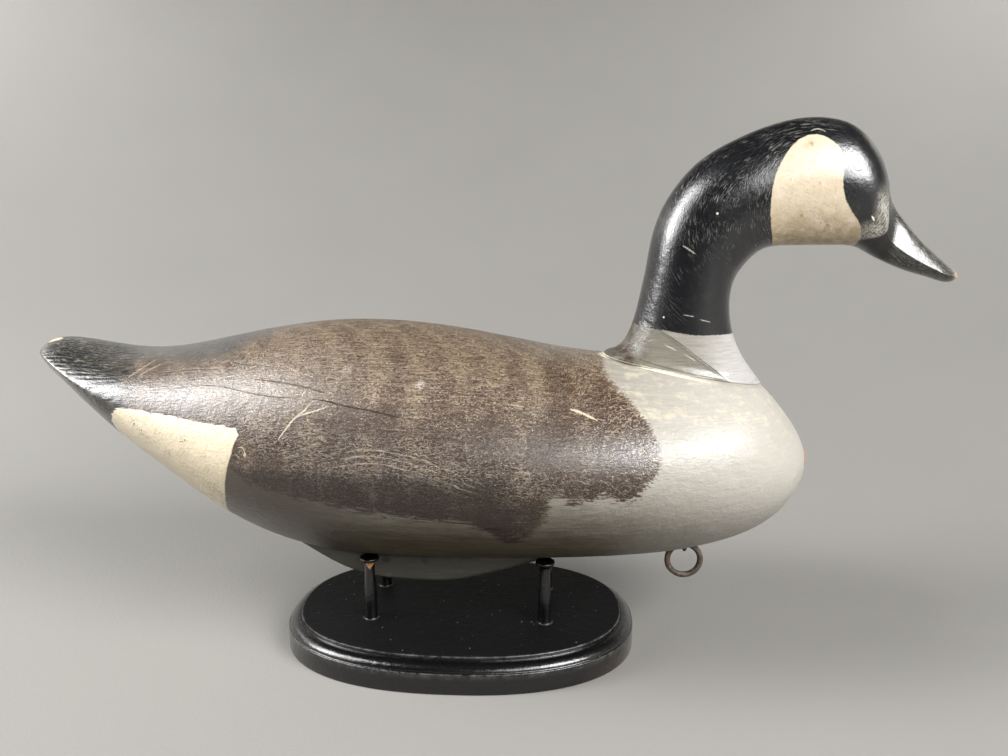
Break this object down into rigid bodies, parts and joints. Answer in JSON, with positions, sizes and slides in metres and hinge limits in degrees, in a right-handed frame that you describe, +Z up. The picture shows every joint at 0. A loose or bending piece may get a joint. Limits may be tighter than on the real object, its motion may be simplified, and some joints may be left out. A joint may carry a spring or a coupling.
{
  "type": "goose decoy",
  "caption": "Carved and painted wooden goose decoy resting on turned pegs that stand in an oval moulded plaque, with an iron line ring under the breast.",
  "frame": {"origin": "middle of the plaque's underside, on the surface that it stands on", "axes": "+X towards the bill, +Y the goose's left side, +Z up"},
  "size_m": [0.63, 0.2056, 0.3671],
  "materials": {
    "body_paint": "grey and scratch-grained brown paint, worn and varnished",
    "head_paint": "glossy black paint with cream cheek patches, finely scratched",
    "keel_paint": "dark grey paint, worn",
    "bare_wood": "bare",
    "iron": "dark, lightly rusted wire",
    "stand_paint": "satin black paint, worn at the edges"
  },
  "bodies": {
    "root": {"body": "body_paint", "head_and_neck": "head_paint", "keel": "keel_paint", "breast_plug": "bare_wood", "line_ring": "iron", "staple": "iron", "plaque": "stand_paint", "peg_front_right": "stand_paint", "peg_front_left": "stand_paint", "peg_back_right": "stand_paint", "peg_back_left": "stand_paint"}
  },
  "joints": []
}
